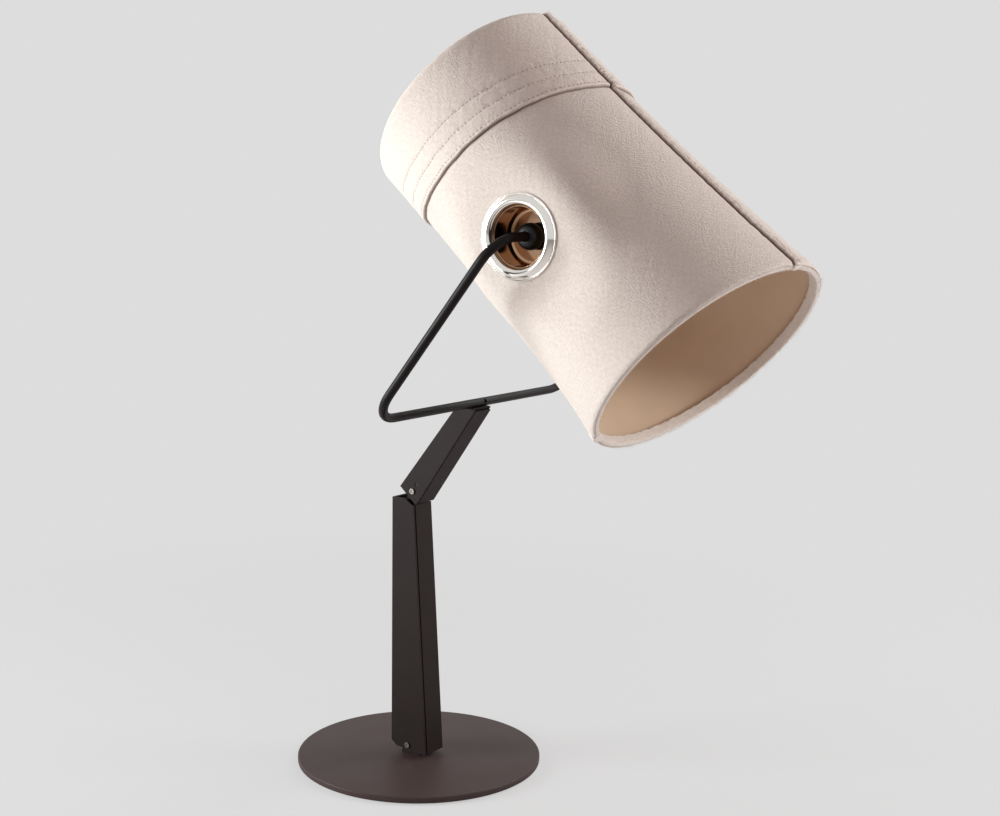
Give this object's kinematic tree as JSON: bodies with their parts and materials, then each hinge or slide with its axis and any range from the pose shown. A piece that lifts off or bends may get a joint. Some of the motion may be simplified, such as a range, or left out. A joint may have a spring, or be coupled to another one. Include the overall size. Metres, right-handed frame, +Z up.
{
  "type": "table lamp",
  "caption": "Table lamp with a tilting canvas drum shade in a bent rod fork, on a jointed steel arm and stem over a round flat base.",
  "frame": {"origin": "middle of the base's underside, where the lamp rests", "axes": "+Z up, +X the way the shade faces and leans, Y along all three pivot axes"},
  "size_m": [0.4176, 0.2678, 0.5995],
  "materials": {
    "base_felt": "felt",
    "disc_paint": "satin powder coat, dark brown-black",
    "black_steel": "satin powder coat, black",
    "black_rod": "satin black enamel",
    "zinc_steel": "bright zinc plate",
    "black_rubber": "matte black",
    "black_knob": "satin black",
    "canvas": "natural cotton canvas",
    "liner": "matt cream lining sheet",
    "eyelet_chrome": "polished",
    "cup_bronze": "polished, bronze tone",
    "holder_plastic": "white",
    "cap_aluminium": "bright",
    "bulb_glass": "frosted"
  },
  "bodies": {
    "base": {"base_pad": "base_felt", "base_disc": "disc_paint", "base_bracket": "black_steel", "base_bracket_screw_front": "zinc_steel", "base_bracket_screw_rear": "zinc_steel"},
    "stem": {"stem_channel": "black_steel", "stem_cover": "black_steel", "base_pivot_bolt": "zinc_steel", "base_pivot_nut": "zinc_steel", "base_friction_washer_near": "black_rubber", "base_friction_washer_far": "black_rubber", "elbow_tongue": "black_steel", "elbow_tongue_screw_lower": "black_steel", "elbow_tongue_screw_upper": "black_steel", "cable_gland": "black_rubber"},
    "arm": {"arm_channel": "black_steel", "arm_cover": "black_steel", "elbow_pivot_bolt": "zinc_steel", "elbow_pivot_nut": "zinc_steel", "elbow_friction_washer_near": "black_rubber", "elbow_friction_washer_far": "black_rubber", "elbow_lock_screw": "black_steel", "fork_saddle": "black_steel", "fork_screw": "black_steel", "fork_rod": "black_rod", "pivot_knob_near": "black_knob", "pivot_knob_far": "black_knob", "pivot_collar_near": "zinc_steel", "pivot_collar_far": "zinc_steel"},
    "shade": {"canvas_panel_near": "canvas", "canvas_panel_far": "canvas", "canvas_band_near": "canvas", "canvas_band_far": "canvas", "bottom_hem": "canvas", "top_hem": "canvas", "bottom_wire_ring": "zinc_steel", "top_wire_ring": "zinc_steel", "shade_liner": "liner", "eyelet_front_near": "eyelet_chrome", "eyelet_front_far": "eyelet_chrome", "eyelet_back_near": "eyelet_chrome", "eyelet_back_far": "eyelet_chrome", "pivot_cup_near": "cup_bronze", "pivot_cup_far": "cup_bronze", "lamp_carrier": "zinc_steel", "lampholder_shell": "holder_plastic", "lampholder_ring": "holder_plastic", "lampholder_nipple": "zinc_steel", "lampholder_nut": "zinc_steel", "bulb_cap": "cap_aluminium", "bulb_glass": "bulb_glass"}
  },
  "joints": [
    {"name": "base_tilt", "type": "hinge", "parent": "base", "child": "stem", "pos_m": [-0.0028, 0, 0.014], "axis": [0, 1, 0], "range_deg": [-25, 7]},
    {"name": "elbow_tilt", "type": "hinge", "parent": "stem", "child": "arm", "pos_m": [-0.0001, 0, 0.2277], "axis": [0, 1, 0], "range_deg": [-35, 12]},
    {"name": "shade_tilt", "type": "hinge", "parent": "arm", "child": "shade", "pos_m": [0.1608, 0, 0.43854], "axis": [0, 1, 0], "range_deg": [-50, 70]}
  ]
}
